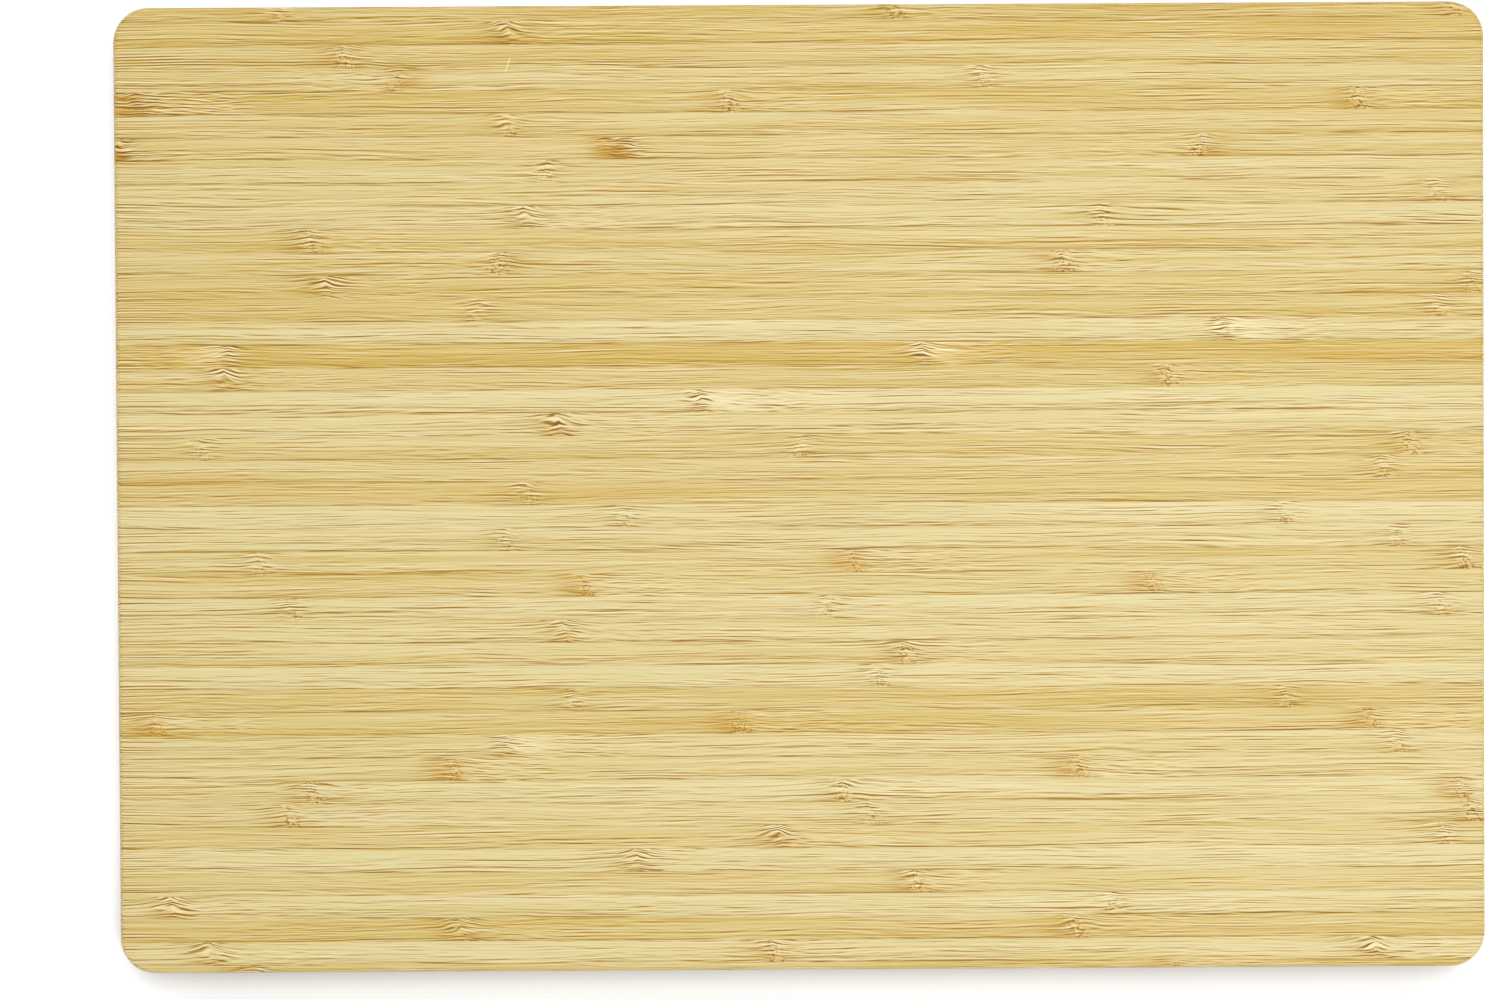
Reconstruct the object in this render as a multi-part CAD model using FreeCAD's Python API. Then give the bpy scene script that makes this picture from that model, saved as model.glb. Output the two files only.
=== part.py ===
import FreeCAD, Part
import math
import os

# A kitchen cutting board glued up from a single layer of bamboo strips.
#
# A strip is a slat split from the wall of a bamboo stem and stood on its edge. The slat's
# thickness is what shows on the working face, and the slat's width is the board's thickness.
# Every strip runs the board's full length, and a thin film of glue fills each joint. The
# outline, the corners and the rims are cut after gluing, so they run across strips and glue
# alike, and the two outermost strips are what the saw left of whole ones.
#
# The board lies flat. The origin is the middle of its underside, +X runs along the grain,
# +Y runs across the strips, and +Z points out of the working face. Sizes are millimetres.

# The finished board
BOARD_LENGTH = 431.8     # 17 in, along the grain
BOARD_WIDTH = 304.8      # 12 in, across the strips
BOARD_THICKNESS = 19.05  # 3/4 in
CORNER_RADIUS = 11.0     # rounding of the four corners, seen from above
RIM_RADIUS = 1.5         # rounding of the rims of both faces

# The strips and the glue between them
STRIP_PITCH = 7.25       # from one glue joint to the next
FIRST_STRIP_WIDTH = 5.0  # what is left of the outermost strip on the +Y side
GLUE_THICKNESS = 0.1     # the film in each joint


def runs_upright(edge):
    """Whether a straight edge stands along Z."""
    start, end = edge.Vertexes[0].Point, edge.Vertexes[-1].Point
    return math.isclose(abs(end.z - start.z), BOARD_THICKNESS)


def lies_in_a_face(edge):
    """Whether an edge belongs to the rim of the underside or of the working face."""
    heights = (edge.BoundBox.ZMin, edge.BoundBox.ZMax)
    low = all(math.isclose(z, 0.0, abs_tol=1e-6) for z in heights)
    high = all(math.isclose(z, BOARD_THICKNESS, abs_tol=1e-6) for z in heights)
    return low or high


def finished_outline():
    """The whole board as one solid, with its corners and rims rounded."""
    corner = FreeCAD.Vector(-BOARD_LENGTH / 2, -BOARD_WIDTH / 2, 0)
    slab = Part.makeBox(BOARD_LENGTH, BOARD_WIDTH, BOARD_THICKNESS, corner)
    rounded = slab.makeFillet(CORNER_RADIUS, [e for e in slab.Edges if runs_upright(e)])
    return rounded.makeFillet(RIM_RADIUS, [e for e in rounded.Edges if lies_in_a_face(e)])


def joint_positions():
    """The y of the middle of every glue joint, from the +Y edge to the -Y edge."""
    first = BOARD_WIDTH / 2 - FIRST_STRIP_WIDTH
    count = math.ceil((BOARD_WIDTH - FIRST_STRIP_WIDTH) / STRIP_PITCH)
    return [first - STRIP_PITCH * index for index in range(count)]


def slice_between(board, y_low, y_high):
    """The piece of the board between two upright planes that run along the grain."""
    corner = FreeCAD.Vector(-BOARD_LENGTH, y_low, -BOARD_THICKNESS)
    slicer = Part.makeBox(2 * BOARD_LENGTH, y_high - y_low, 3 * BOARD_THICKNESS, corner)
    return board.common(slicer).Solids[0]


def bamboo_strips(board):
    """Every strip as its own solid, in order from the +Y edge."""
    tops = [BOARD_WIDTH / 2] + [y - GLUE_THICKNESS / 2 for y in joint_positions()]
    bottoms = [y + GLUE_THICKNESS / 2 for y in joint_positions()] + [-BOARD_WIDTH / 2]
    return [slice_between(board, low, high) for high, low in zip(tops, bottoms)]


def glue_films(board):
    """The film of every joint as its own thin solid, in one group."""
    half = GLUE_THICKNESS / 2
    return Part.makeCompound([slice_between(board, y - half, y + half) for y in joint_positions()])


os.makedirs("parts", exist_ok=True)
whole_board = finished_outline()
for number, strip in enumerate(bamboo_strips(whole_board), start=1):
    strip.exportStep(f"parts/strip_{number:02d}.step")
glue_films(whole_board).exportStep("parts/glue_lines.step")
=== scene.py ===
import math
from dataclasses import dataclass

import bpy
from mathutils import Euler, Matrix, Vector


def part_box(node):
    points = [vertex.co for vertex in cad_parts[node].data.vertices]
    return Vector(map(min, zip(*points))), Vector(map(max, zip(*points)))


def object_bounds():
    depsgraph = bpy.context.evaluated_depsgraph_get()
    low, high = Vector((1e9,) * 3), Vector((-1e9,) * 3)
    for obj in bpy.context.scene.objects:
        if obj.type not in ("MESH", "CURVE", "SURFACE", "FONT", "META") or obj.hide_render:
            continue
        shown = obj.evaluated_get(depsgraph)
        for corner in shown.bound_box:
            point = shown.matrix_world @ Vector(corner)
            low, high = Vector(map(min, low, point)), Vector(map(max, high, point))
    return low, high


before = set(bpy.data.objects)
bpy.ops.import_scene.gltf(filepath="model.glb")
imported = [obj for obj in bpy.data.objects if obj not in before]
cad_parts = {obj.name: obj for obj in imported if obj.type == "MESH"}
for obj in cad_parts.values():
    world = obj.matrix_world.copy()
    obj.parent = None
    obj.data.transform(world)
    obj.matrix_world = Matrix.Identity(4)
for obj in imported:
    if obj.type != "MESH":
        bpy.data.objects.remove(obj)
CAD_LOW, CAD_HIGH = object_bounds()

# A bamboo cutting board on a white table, seen from straight above.
#
# The board is one layer of strips that lie side by side along X. Strips are counted from the
# +Y edge. In each strip the side towards -Y is the one that grew under the stem's skin, where
# the fibres are dark and close together, and the side towards +Y lay inside the stem.
#
# The board's shape is the CAD's own. This script gives every strip a material made of nodes,
# and adds the table, the lamps and the camera. Patterns are worked out in millimetres: "along"
# from the board's -X end, "across" from a strip's inner side, and "height" from the table.

MM = 0.001


def strip_sides(number):
    """The y of a strip's -Y side and of its +Y side, in mm."""
    low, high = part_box(f"strip_{number:02d}")
    return low.y / MM, high.y / MM


BOARD_LENGTH = (CAD_HIGH.x - CAD_LOW.x) / MM
STRIP_PITCH = strip_sides(2)[1] - strip_sides(3)[1]  # from one glue joint to the next


# ---------------------------------------------------------------------------------------------
# What each strip looks like
# ---------------------------------------------------------------------------------------------

@dataclass
class Knuckle:
    """The scar of a stem's joint, where the fibres arch and tangle."""
    bend: float    # how far the fibres arch towards +Y, in mm
    arch: float    # how much the arching fibres stand out
    tangle: float  # how much the curled fibres in the middle stand out
    flank: float   # how dark and busy the fibres on both sides are
    brown: float   # how brown one side is
    pale: float    # how pale the other side is
    tail: float    # how strong the broken dashes are beyond the pale side


KNUCKLES = {
    "soft": Knuckle(bend=0.6, arch=0.5, tangle=0.4, flank=0.5, brown=0.0, pale=0.1, tail=0.0),
    "wavy": Knuckle(bend=1.5, arch=0.8, tangle=0.2, flank=0.8, brown=0.2, pale=0.2, tail=0.3),
    "fan": Knuckle(bend=0.9, arch=0.5, tangle=0.8, flank=0.7, brown=0.3, pale=0.2, tail=0.3),
    "brown": Knuckle(bend=0.7, arch=0.4, tangle=0.6, flank=0.6, brown=0.7, pale=0.2, tail=0.5),
    "burnt": Knuckle(bend=0.5, arch=1.6, tangle=0.2, flank=0.7, brown=1.5, pale=0.1, tail=0.1),
    "torn": Knuckle(bend=0.5, arch=1.2, tangle=0.2, flank=0.7, brown=1.4, pale=0.1, tail=1.0),
    "pale": Knuckle(bend=1.0, arch=0.9, tangle=0.2, flank=0.3, brown=0.0, pale=0.9, tail=0.5),
}

# One row per strip, from the +Y edge: its tone, from 0 for honey to 10 for the palest straw, and
# its knuckles. A knuckle is its place along the board in mm, its kind, and the side on which its
# brown part lies: "<" towards -X or ">" towards +X.
STRIPS = [
    (3, "52 soft<", "246 fan<", "422 soft<"),
    (2, "125 wavy<"),
    (4, "73 fan<"),
    (6, "89 brown>", "274 soft<"),
    (3, "8 torn<", "194 fan<", "392 fan<"),
    (5, "124 soft<"),
    (5, "1 burnt<", "160 burnt<", "342 fan>"),
    (6, "136 soft>"),
    (7, "417 soft<"),
    (8, "130 wavy<", "311 soft<"),
    (5, "62 fan<"),
    (6, "121 fan>", "299 fan<"),
    (4, "67 wavy<", "428 soft<"),
    (4, "114 soft>", "417 soft<"),
    (8, "350 pale<"),
    (0, "35 pale>", "255 pale<"),
    (5, "35 wavy<", "332 fan<"),
    (10, "185 pale<"),
    (8, "140 wavy<"),
    (5, "27 soft<", "216 soft>", "408 fan<"),
    (5, "400 soft<"),
    (4, "130 soft<"),
    (10, "160 soft<", "368 soft<"),
    (8, "123 soft<", "404 soft<"),
    (6, "45 soft<", "233 brown<", "425 fan<"),
    (6, "148 brown<", "327 brown<"),
    (10, "55 soft<", "224 soft>", "418 soft<"),
    (8, "141 wavy<"),
    (7, "249 fan<"),
    (10, "240 soft<"),
    (4, "144 soft<", "369 soft<"),
    (4, "12 brown<", "196 brown<", "396 brown<"),
    (8, "123 pale<", "404 soft<"),
    (7, "106 brown<", "303 brown<"),
    (9, "61 fan<", "229 fan<", "424 brown<"),
    (8, "54 fan<", "237 soft<", "428 fan<"),
    (6, "209 wavy<", "419 soft<"),
    (10, "164 wavy<"),
    (6, "252 fan<"),
    (9, "17 wavy<", "314 soft<"),
    (4, "108 wavy<", "302 fan<"),
    (9, "29 wavy<", "207 fan<", "397 wavy<"),
    (3, "42 burnt<", "335 brown<"),
]
PALEST_TONE = 10


def read_knuckle(text):
    """(place in mm, Knuckle, which way its brown part lies as -1 or 1)."""
    place, kind = text.split()
    return float(place), KNUCKLES[kind[:-1]], {"<": -1.0, ">": 1.0}[kind[-1]]


# ---------------------------------------------------------------------------------------------
# Node trees written as formulas
# ---------------------------------------------------------------------------------------------

class Signal:
    """A value that varies over a surface: an output socket, with arithmetic."""

    def __init__(self, tree, socket):
        self.tree = tree
        self.socket = socket

    def apply(self, operation, *others):
        """What a Math node makes of this value and the others."""
        values = dict(enumerate((self, *others)))
        return add_node(self.tree, "ShaderNodeMath", values, operation=operation)

    def __add__(self, other):
        return self.apply("ADD", other)

    def __sub__(self, other):
        return self.apply("SUBTRACT", other)

    def __mul__(self, other):
        return self.apply("MULTIPLY", other)

    def __truediv__(self, other):
        return self.apply("DIVIDE", other)

    def __neg__(self):
        return self * -1.0

    def __abs__(self):
        return self.apply("ABSOLUTE")

    __radd__ = __add__

    def __rsub__(self, other):
        return -self + other

    def rising(self, low, high):
        """0 below low, 1 above high, and a smooth step between them."""
        values = {"Value": self, "From Min": low, "From Max": high}
        return add_node(self.tree, "ShaderNodeMapRange", values, interpolation_type="SMOOTHSTEP")

    def falling(self, low, high):
        """1 below low, 0 above high, and a smooth step between them."""
        return 1.0 - self.rising(low, high)

    def between(self, start, full, fade, end):
        """1 from full to fade, 0 before start and after end, and a smooth step on each side."""
        return self.rising(start, full) * self.falling(fade, end)

    def bell(self, reach):
        """1 at zero, falling smoothly to nearly 0 at twice the reach on both sides."""
        offset = self / reach
        return (-(offset * offset)).apply("EXPONENT")

    def clamped(self):
        """The value held between 0 and 1."""
        return add_node(self.tree, "ShaderNodeClamp", {"Value": self})


def add_node(tree, kind, values, output=0, **settings):
    """Adds a node, feeds its inputs with signals or constants, and returns one output."""
    node = tree.nodes.new(kind)
    for name, value in settings.items():
        setattr(node, name, value)
    feed(tree, node, values)
    return Signal(tree, node.outputs[output])


def feed(tree, node, values):
    """Links signals to a node's inputs, and writes constants into them."""
    for name, value in values.items():
        if isinstance(value, Signal):
            tree.links.new(value.socket, node.inputs[name])
        else:
            node.inputs[name].default_value = value


def parts_of(vector):
    """The X, Y and Z of a signal that is a vector."""
    node = vector.tree.nodes.new("ShaderNodeSeparateXYZ")
    feed(vector.tree, node, {"Vector": vector})
    return [Signal(vector.tree, output) for output in node.outputs]


def noise(tree, along, across, height, detail=0.0):
    """Smooth noise from 0 to 1 at a point given in noise cells."""
    point = add_node(tree, "ShaderNodeCombineXYZ", {"X": along, "Y": across, "Z": height})
    values = {"Vector": point, "Scale": 1.0, "Detail": detail, "Roughness": 0.5}
    return add_node(tree, "ShaderNodeTexNoise", values)


def spread(cells):
    """Noise from 0 to 1, drawn out to about -1 to 1."""
    return (cells - 0.5) * 3.5


# A Mix node has sockets for every kind of value. These are the ones for colours.
FIRST_COLOUR, SECOND_COLOUR, MIXED_COLOUR = 6, 7, 2


def mix_colours(tree, share, colour, other):
    """The colour where the share is 0 or less, and the other where it is 1 or more."""
    values = {"Factor": share, FIRST_COLOUR: colour, SECOND_COLOUR: other}
    return add_node(tree, "ShaderNodeMix", values, output=MIXED_COLOUR, data_type="RGBA")


# Kinds of sockets
NUMBER, COLOUR = "NodeSocketFloat", "NodeSocketColor"


class Group:
    """A node group under construction: its tree, its inputs as signals, and its exit. All its
    inputs are numbers. The outputs are given as names with their kinds."""

    def __init__(self, name, inputs, outputs):
        self.tree = bpy.data.node_groups.new(name, "ShaderNodeTree")
        for socket in inputs:
            self.tree.interface.new_socket(socket, in_out="INPUT", socket_type=NUMBER)
        for socket, kind in outputs.items():
            self.tree.interface.new_socket(socket, in_out="OUTPUT", socket_type=kind)
        entry = self.tree.nodes.new("NodeGroupInput")
        self.inputs = {name: Signal(self.tree, entry.outputs[name]) for name in inputs}
        self.exit = self.tree.nodes.new("NodeGroupOutput")

    def send(self, **outputs):
        feed(self.tree, self.exit, outputs)


def use_group(tree, group, values):
    """Adds a node that runs a group, and returns its outputs by name."""
    node = tree.nodes.new("ShaderNodeGroup")
    node.node_tree = group.tree
    feed(tree, node, values)
    return {output.name: Signal(tree, output) for output in node.outputs}


# ---------------------------------------------------------------------------------------------
# Knuckles
# ---------------------------------------------------------------------------------------------

# What the knuckles add up to at a point of a strip. The names are those of the class Knuckle.
TOTALS = ("Bend", "Arch", "Tangle", "Flank", "Brown", "Pale", "Tail")

# How far the parts of a knuckle reach on both sides of its middle, in mm
BEND_REACH = 6.0
ARCH_REACH = 5.0
TANGLE_REACH = 2.8
FLANK_REACH = 11.0
CALM_REACH = 3.0          # the flanks are calmer this near the middle

# Parts on one side, in mm from the middle and positive on the brown side: where each part
# starts, is full, starts to fade and ends
BROWN_PART = (-5.0, 0.0, 4.0, 13.0)
PALE_PART = (-20.0, -5.0, -3.0, 0.0)
TAIL_PART = (-42.0, -25.0, -8.0, -2.0)

SKIN_HALF = (1.5, 5.5)    # mm across, where the half towards the skin starts and is full
LEAN = 0.3                # mm that a knuckle leans along the board for each mm across
LUMP = (1.9, 1.3, 2.5)    # mm along, across and in height of one lump in the tangle


def own(total):
    """The name of the input for what one knuckle adds to a total."""
    return "Own " + total.lower()


def knuckle_group():
    """Adds one knuckle to the running totals that the bamboo group reads."""
    names = ("Along", "Across", "Height", "Place", "Side", *TOTALS, *map(own, TOTALS))
    group = Group("knuckle", names, dict.fromkeys(TOTALS, NUMBER))
    value = group.inputs
    across = value["Across"]
    lean = (across - STRIP_PITCH / 2) * LEAN
    offset = (value["Along"] - value["Place"]) * value["Side"] + lean
    skin_half = across.rising(*SKIN_HALF)

    # The bend comes to a point, and falls away more gently on the brown side.
    tent = ((offset * 0.3 - abs(offset)) / BEND_REACH).apply("EXPONENT")

    # Curled fibres in the middle: thin dark outlines round pale lumps.
    length, width, depth = LUMP
    cells = (offset / length + value["Place"], across / width, value["Height"] / depth)
    curls = abs(noise(group.tree, *cells, detail=1.0) - 0.5).falling(0.02, 0.06)

    shapes = {
        "Bend": tent * (1.3 - skin_half * 0.9),
        "Arch": offset.bell(ARCH_REACH) * (1.0 - skin_half * 0.3),
        "Tangle": offset.bell(TANGLE_REACH) * (skin_half * 0.5 + 0.5) * (0.7 - curls * 2.2),
        "Flank": offset.bell(FLANK_REACH) - offset.bell(CALM_REACH) * 0.7,
        "Brown": offset.between(*BROWN_PART) * (skin_half * 0.4 + 0.6),
        "Pale": offset.between(*PALE_PART),
        "Tail": offset.between(*TAIL_PART),
    }
    group.send(**{name: value[name] + shape * value[own(name)] for name, shape in shapes.items()})
    return group


def add_knuckles(tree, group, texts, point):
    """What a strip's knuckles add up to at a point given by its Along, Across and Height."""
    totals = dict.fromkeys(TOTALS, 0.0)
    for text in texts:
        place, knuckle, side = read_knuckle(text)
        strengths = {own(name): getattr(knuckle, name.lower()) for name in TOTALS}
        values = {**point, "Place": place, "Side": side, **totals, **strengths}
        totals = use_group(tree, group, values)
    return totals


# ---------------------------------------------------------------------------------------------
# Bamboo
# ---------------------------------------------------------------------------------------------

# The shares and weights in the formulas of this section were chosen one by one.

# Lines along the fibres, in mm
FIBRE_PITCH = 0.42        # from one fibre to the next
LIGHT_SHIFT = 0.37        # from a dark line to the light one beside it
FIBRE_DEPTH = 0.6         # how far down a fibre stays the same
DASH, SHORT, MEDIUM, LONG = 5.0, 9.0, 32.0, 120.0  # how long the lines are
BAND_WIDTH, BAND_DEPTH = 1.4, 2.0  # of the soft bands that follow the fibres
UNROLL = 40.0             # between the stretches of noise that neighbouring strips read

# Bands across a strip, in mm from its inner side: where each starts and is full
SKIN = (0.2 * STRIP_PITCH, STRIP_PITCH)  # the fibres get denser
HEEL = (4.4, 6.2)         # the dark foot of a strong knuckle
RIND = (6.5, 7.0)         # the outermost fibres

# Fibres seen from their cut ends, in mm
END_WIDTH, END_HEIGHT = 0.75, 0.6  # of a fibre's cell beside the strip's inner side
END_CROWDING = 0.06       # how fast the cells get narrower across

# One light scratch across the grain, in mm: its ends, each as along and y, how far it is full
# and how far it shows on both sides of its line, and how softly it starts and ends
SCRATCH_TOP = (125.025, 135.85)
SCRATCH_FOOT = (123.625, 131.85)
SCRATCH_SIDES = (0.08, 0.30)
SCRATCH_FADE = 0.5

# Colours, as linear red, green, blue and alpha
HONEY = (0.575, 0.390, 0.062, 1.0)
STRAW = (0.690, 0.588, 0.282, 1.0)
PITH = (0.880, 0.742, 0.450, 1.0)       # the palest flecks
SCAR = (0.600, 0.300, 0.020, 1.0)       # the brown part of a knuckle
FIBRE = (0.380, 0.190, 0.001, 1.0)      # a dark fibre
CHAR = (0.190, 0.082, 0.002, 1.0)       # the darkest threads at a knuckle
END_FIBRE = (0.320, 0.165, 0.030, 1.0)  # a fibre seen from its end


class Fibres:
    """Where a strip's fibres run, and the noise that follows them."""

    def __init__(self, tree, value):
        self.tree = tree
        self.along = value["Along"]
        self.height = value["Height"]
        self.unrolled = value["Across"] + value["Strip"] * UNROLL

        # The fibres wander a little, arch at knuckles and waver beside them.
        drift = self.patches(60.0, 9.0) * 0.7
        waver = self.patches(7.0, 3.0) * (value["Arch"] + value["Flank"]) * 0.3
        self.bent = self.unrolled + drift + waver + value["Bend"]

        self.dashes = self.lines(DASH)
        self.short = self.lines(SHORT)
        self.medium = self.lines(MEDIUM)
        self.long = self.lines(LONG)
        bands = (self.along / LONG, self.bent / BAND_WIDTH, self.height / BAND_DEPTH)
        self.bands = spread(noise(tree, *bands))

    def patches(self, length, thickness):
        """Soft patches, from about -1 to 1, that don't follow the fibres. Sizes are in mm."""
        across, height = self.unrolled / thickness, self.height / thickness
        return spread(noise(self.tree, self.along / length, across, height))

    def lines(self, length):
        """Thin lines of about the length given in mm: a value from about -1 to 1, where each
        dark line has a light one beside it."""
        def level(place):
            height = self.height / FIBRE_DEPTH
            return noise(self.tree, self.along / length, place / FIBRE_PITCH, height)
        return (level(self.bent) - level(self.bent + LIGHT_SHIFT) * 0.8 - 0.1) * 3.8


def grain_shade(fibres, value):
    """How far the plain grain is from the strip's tone: darker below 0 and paler above 0."""
    across = value["Across"]

    # Fibres lie closer and darker towards the skin.
    skin = across.rising(*SKIN)
    contrast = 0.80 + fibres.patches(45.0, 2.4) * 0.5 + skin * 0.25 + value["Flank"] * 0.4
    grain = fibres.short * 0.42 + fibres.medium * 0.42 + fibres.long * 0.36
    shade = 0.12 + grain * contrast + fibres.bands * 0.08 - skin * 0.10
    skin_lines = fibres.long.rising(0.35, 1.0) * skin

    # The outermost fibres make a dark line along the joint, in some stretches.
    rind = across.rising(*RIND) * fibres.patches(60.0, 30.0).rising(-0.25, 0.35)
    return shade - skin_lines * 0.5 - rind * 0.6


def knuckle_shade(fibres, value, heel):
    """What the knuckles add to the shade of the plain grain."""
    arches = value["Arch"] * (fibres.dashes * 2.6 + 0.1)
    broken = value["Tail"] * (0.2 + fibres.dashes * 1.2)
    foot = heel * fibres.short.rising(-0.1, 0.3)
    streaks = value["Brown"] * fibres.dashes.rising(0.0, 0.5)
    flanks = fibres.medium.rising(0.05, 0.8) * value["Flank"]
    pale = value["Tangle"] + value["Pale"] * 0.6
    return arches + broken + pale - foot * 0.7 - streaks * 0.4 - flanks * 1.4


def grain_colour(fibres, value, shade, heel):
    """The colour of the grain and the knuckles, before anything was done to the board."""
    tree = fibres.tree
    tone = value["Tone"] + fibres.bands * 0.2 + fibres.patches(80.0, 3.5) * 0.14
    brown = value["Brown"] * (0.55 - fibres.short * 0.4) + heel * 0.5
    brown = brown - value["Tail"] * (fibres.short * 0.5 + 0.1)
    colour = mix_colours(tree, tone, HONEY, STRAW)
    colour = mix_colours(tree, shade * 0.55, colour, PITH)
    colour = mix_colours(tree, brown, colour, SCAR)
    colour = mix_colours(tree, -shade, colour, FIBRE)
    return mix_colours(tree, shade * -0.6 - 0.45, colour, CHAR)


def fibre_ends(tree, value):
    """The fibres as dots, 1 inside and 0 outside, closer together towards the skin."""
    across = value["Across"]
    column = (across + across * across * END_CROWDING) / END_WIDTH + value["Strip"] * UNROLL
    row = value["Height"] / END_HEIGHT
    values = {
        "Vector": add_node(tree, "ShaderNodeCombineXYZ", {"X": column, "Y": row}),
        "Scale": 1.0,
        "Randomness": 0.8,
    }
    settings = {"output": "Distance", "voronoi_dimensions": "2D"}
    return add_node(tree, "ShaderNodeTexVoronoi", values, **settings).falling(0.22, 0.40)


def scratch_mark(value):
    """The scratch: 1 on it and 0 elsewhere."""
    (along, top), (end_along, foot) = SCRATCH_TOP, SCRATCH_FOOT
    slope = (end_along - along) / (foot - top)
    y = value["Y"]
    off_line = abs(value["Along"] - (y - top) * slope - along)
    ends = [place + shift for place in (foot, top) for shift in (-SCRATCH_FADE, SCRATCH_FADE)]
    return off_line.falling(*SCRATCH_SIDES) * y.between(*ends)


def bamboo_group():
    """Colour, roughness and relief of bamboo at a point of one strip."""
    names = ("Along", "Across", "Y", "Height", "Tone", "Strip", *TOTALS)
    group = Group("bamboo", names, {"Colour": COLOUR, "Roughness": NUMBER, "Relief": NUMBER})
    tree, value = group.tree, group.inputs
    fibres = Fibres(tree, value)
    heel = value["Arch"] * value["Across"].rising(*HEEL)
    shade = grain_shade(fibres, value) + knuckle_shade(fibres, value, heel)
    colour = grain_colour(fibres, value, shade, heel)

    normal = add_node(tree, "ShaderNodeNewGeometry", {}, output="Normal")
    facing_x, _, facing_z = (abs(part) for part in parts_of(normal))

    # The sawn ends show the fibres as dots.
    ends = facing_x.rising(0.7, 0.95)
    dots = fibre_ends(tree, value)
    colour = mix_colours(tree, ends * (0.12 + dots * 0.45), colour, END_FIBRE)

    colour = mix_colours(tree, scratch_mark(value) * 0.8, colour, PITH)

    # The rims are worn and a little uneven. They are painted paler, partly for wear and partly as
    # a painted highlight on their rounding, and they are duller.
    wear_and_highlight = facing_z.between(0.1, 0.4, 0.80, 0.98) * (0.7 + fibres.patches(12.0, 3.0) * 0.6)
    colour = mix_colours(tree, wear_and_highlight * 0.35, colour, PITH)

    dark = (-shade).clamped()
    blotches = fibres.patches(30.0, 6.0)
    group.send(
        Colour=colour,
        Roughness=0.46 + dark * 0.12 + blotches * 0.05 + wear_and_highlight * 0.12 + ends * 0.15,
        Relief=dark * -0.6 + value["Arch"] * 0.3 - ends * dots * 1.5,
    )
    return group


# ---------------------------------------------------------------------------------------------
# Materials
# ---------------------------------------------------------------------------------------------

SHEEN = 0.3               # how strongly a surface reflects, where 0.5 is usual
BAMBOO_RELIEF = 0.05      # mm that a relief of 1 stands out
GLUE_RELIEF = 0.02
GLUE_STRETCH = (30.0, 3.0, 10.0)  # mm along, across and in height of one stretch of the glue
PALE_GLUE = (0.580, 0.430, 0.170, 1.0)
DARK_GLUE = (0.320, 0.165, 0.020, 1.0)


def new_material(name):
    """A material that is one Principled surface: (material, tree, the surface's node)."""
    material = bpy.data.materials.new(name)
    material.use_nodes = True
    surface = material.node_tree.nodes["Principled BSDF"]
    surface.inputs["Specular IOR Level"].default_value = SHEEN
    return material, material.node_tree, surface


def place_in_mm(tree):
    """Along the board, towards +Y and up, each in mm from the board's -X end, middle and table."""
    x, y, z = parts_of(add_node(tree, "ShaderNodeTexCoord", {}, output="Object"))
    return x * (1 / MM) + BOARD_LENGTH / 2, y * (1 / MM), z * (1 / MM)


def set_surface(tree, surface, colour, roughness, relief, depth):
    """Sets what a surface looks like. A relief of 1 stands out by the depth in mm."""
    values = {"Height": relief, "Distance": depth * MM, "Strength": 1.0}
    normal = add_node(tree, "ShaderNodeBump", values)
    feed(tree, surface, {"Base Color": colour, "Roughness": roughness, "Normal": normal})


def bamboo_material(number, inner_side, groups):
    """One strip's material. inner_side is the y, in mm, of the side that lay inside the stem."""
    tone, *knuckles = STRIPS[number - 1]
    material, tree, surface = new_material(f"bamboo_{number:02d}")
    along, y, height = place_in_mm(tree)
    point = {"Along": along, "Across": inner_side - y, "Height": height}
    totals = add_knuckles(tree, groups["knuckle"], knuckles, point)
    values = {**point, "Y": y, "Tone": tone / PALEST_TONE, "Strip": number, **totals}
    bamboo = use_group(tree, groups["bamboo"], values)
    looks = (bamboo[name] for name in ("Colour", "Roughness", "Relief"))
    set_surface(tree, surface, *looks, BAMBOO_RELIEF)
    return material


def glue_material():
    """Glue that is as pale as the bamboo in most stretches and dark amber in the rest."""
    material, tree, surface = new_material("glue")
    cells = [place / size for place, size in zip(place_in_mm(tree), GLUE_STRETCH)]
    stretches = noise(tree, *cells, detail=2.0)
    colour = mix_colours(tree, stretches.rising(0.47, 0.62), PALE_GLUE, DARK_GLUE)
    set_surface(tree, surface, colour, 0.35 + stretches * 0.2, stretches, GLUE_RELIEF)
    return material


def paint_board():
    groups = {"knuckle": knuckle_group(), "bamboo": bamboo_group()}
    for number in range(1, len(STRIPS) + 1):
        outer_side, inner_side = strip_sides(number)
        if number == 1:  # its inner part is sawn off
            inner_side = outer_side + STRIP_PITCH
        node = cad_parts[f"strip_{number:02d}"]
        node.data.materials[0] = bamboo_material(number, inner_side, groups)
    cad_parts["glue_lines"].data.materials[0] = glue_material()


# ---------------------------------------------------------------------------------------------
# Table, light and camera
# ---------------------------------------------------------------------------------------------

WHITE = (1.0, 1.0, 1.0, 1.0)
TABLE_WHITE = (0.86, 0.86, 0.86, 1.0)
TABLE_RADIUS = 12.0
TABLE_CORNERS = 96
NEAR_GLOW, FAR_GLOW = 0.30, 0.80  # the table's own light round the board and far away
GLOW_RISE = (0.5, 2.5)    # metres from the middle between which the glow grows
ROOM_LIGHT = 0.20         # how bright the white room is for the board, where the camera sees 1

# Where the table's glow is taken away for a painted soft shadow beyond the board's -Y edge,
# in metres: along Y, where it starts, is full, starts to fade and ends; and how far out on both
# sides along X it is full and shows
PAINTED_SHADOW_Y = (-0.45, -0.18, -0.155, -0.10)
PAINTED_SHADOW_X = (0.19, 0.24)


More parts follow.
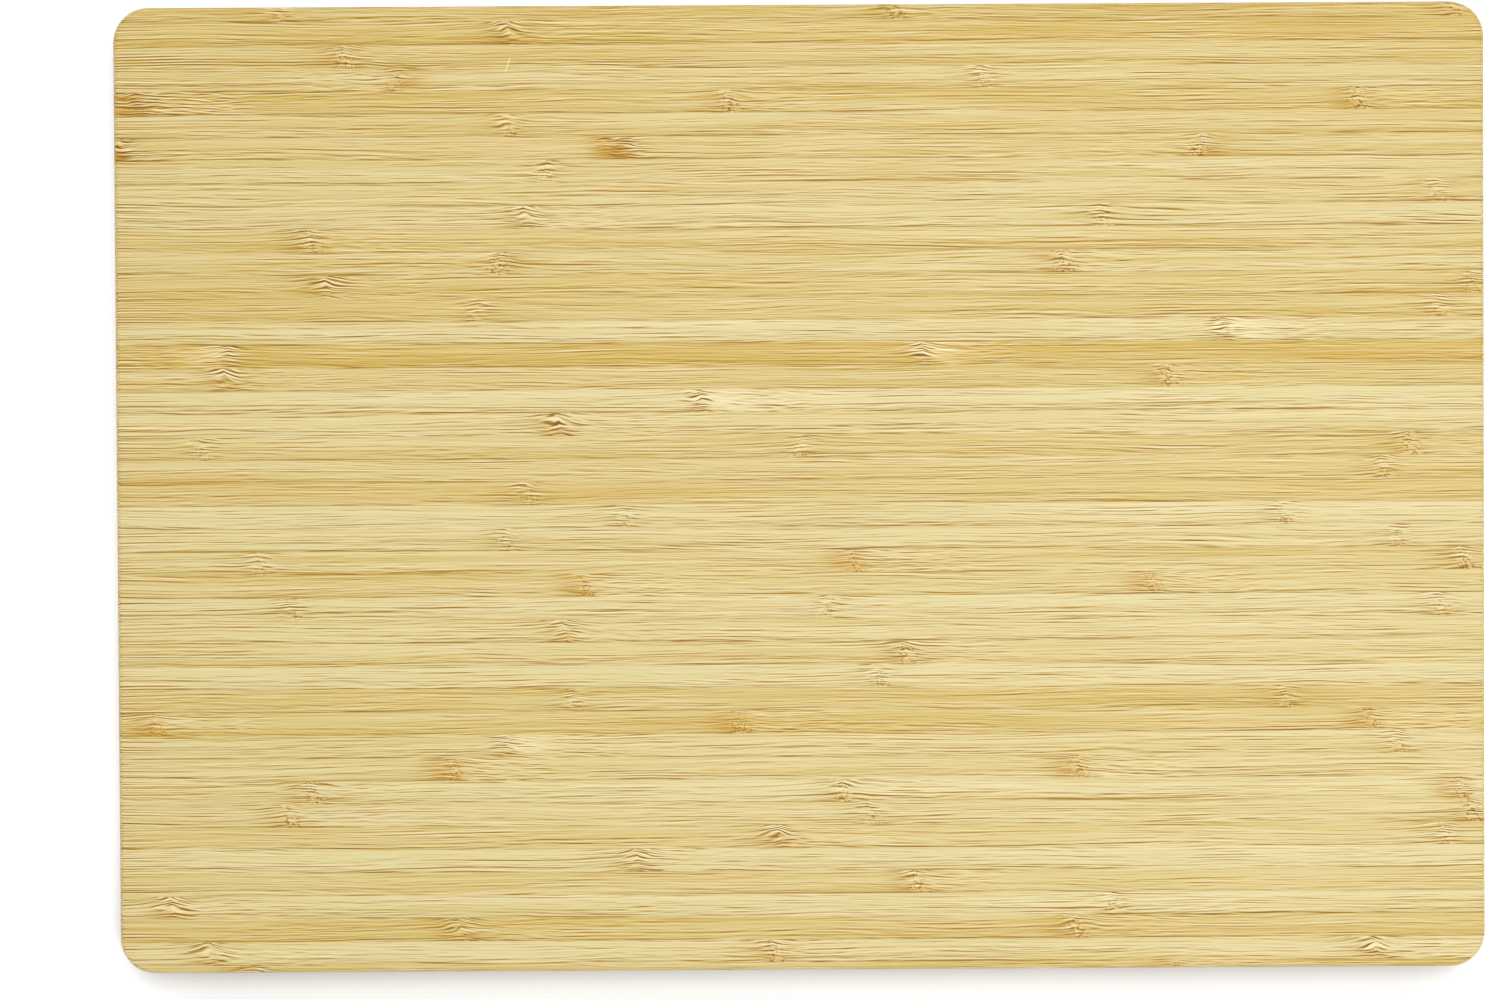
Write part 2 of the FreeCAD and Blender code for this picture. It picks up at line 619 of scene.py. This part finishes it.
def table_glow(tree):
    """How strongly the table shines, as painted light: most far away, where the lamps don't
    reach, and hardly at all in a painted soft shadow just beyond the board's -Y edge."""
    place = add_node(tree, "ShaderNodeTexCoord", {}, output="Object")
    distance = add_node(
        tree, "ShaderNodeVectorMath", {0: place}, output="Value", operation="LENGTH"
    )
    x, y, _ = parts_of(place)
    # Painted shadow: the table's glow is taken away just beyond the board's -Y edge.
    painted_shadow = y.between(*PAINTED_SHADOW_Y) * abs(x).falling(*PAINTED_SHADOW_X)
    rise = distance.rising(*GLOW_RISE) * (FAR_GLOW - NEAR_GLOW)
    return NEAR_GLOW - painted_shadow * NEAR_GLOW + rise


def build_table():
    """A round white table top that glows a little, as painted light, so that it stays white
    round the board.
    """
    turns = [math.tau * step / TABLE_CORNERS for step in range(TABLE_CORNERS)]
    points = [
        (TABLE_RADIUS * math.cos(turn), TABLE_RADIUS * math.sin(turn), CAD_LOW.z)
        for turn in turns
    ]
    mesh = bpy.data.meshes.new("table")
    mesh.from_pydata(points, [], [range(TABLE_CORNERS)])
    table = bpy.data.objects.new("table", mesh)
    bpy.context.scene.collection.objects.link(table)
    material, tree, surface = new_material("table_white")
    feed(tree, surface, {
        "Base Color": TABLE_WHITE,
        "Roughness": 0.7,
        "Emission Color": WHITE,
        "Emission Strength": table_glow(tree),
    })
    mesh.materials.append(material)


def add_lamp(name, width, watts, place):
    """A square studio lamp aimed at the origin."""
    light = bpy.data.lights.new(name, "AREA")
    light.size = width
    light.energy = watts
    lamp = bpy.data.objects.new(name, light)
    lamp.location = place
    lamp.rotation_euler = (-lamp.location).to_track_quat("-Z", "Y").to_euler()
    bpy.context.scene.collection.objects.link(lamp)


def build_lights():
    """A white room, a wide lamp beyond the +Y edge and a small one opposite, for the sheen."""
    world = bpy.data.worlds.new("studio")
    world.use_nodes = True
    tree = world.node_tree
    seen = add_node(tree, "ShaderNodeLightPath", {}, output="Is Camera Ray")
    strength = ROOM_LIGHT + seen * (1.0 - ROOM_LIGHT)
    feed(tree, tree.nodes["Background"], {"Color": WHITE, "Strength": strength})
    bpy.context.scene.world = world

    add_lamp("key", width=1.40, watts=63.0, place=(0.15, 0.70, 3.00))
    add_lamp("sheen", width=0.60, watts=11.5, place=(0.52, -0.48, 1.70))


def build_camera():
    """A camera that looks down at the board, almost square on."""
    lens = bpy.data.cameras.new("camera")
    lens.lens = 70.0
    lens.sensor_width = 36.0
    above_face = 0.920
    aside = (-0.0171, 0.0102)
    tilt, sway, roll = (math.radians(degrees) for degrees in (-0.85, -0.07, -0.31))
    camera = bpy.data.objects.new("camera", lens)
    camera.location = (*aside, CAD_HIGH.z + above_face)
    camera.rotation_euler = Euler((tilt, sway, roll))
    bpy.context.scene.collection.objects.link(camera)
    bpy.context.scene.camera = camera


paint_board()
build_table()
build_lights()
build_camera()
bpy.context.scene.view_settings.view_transform = "Standard"
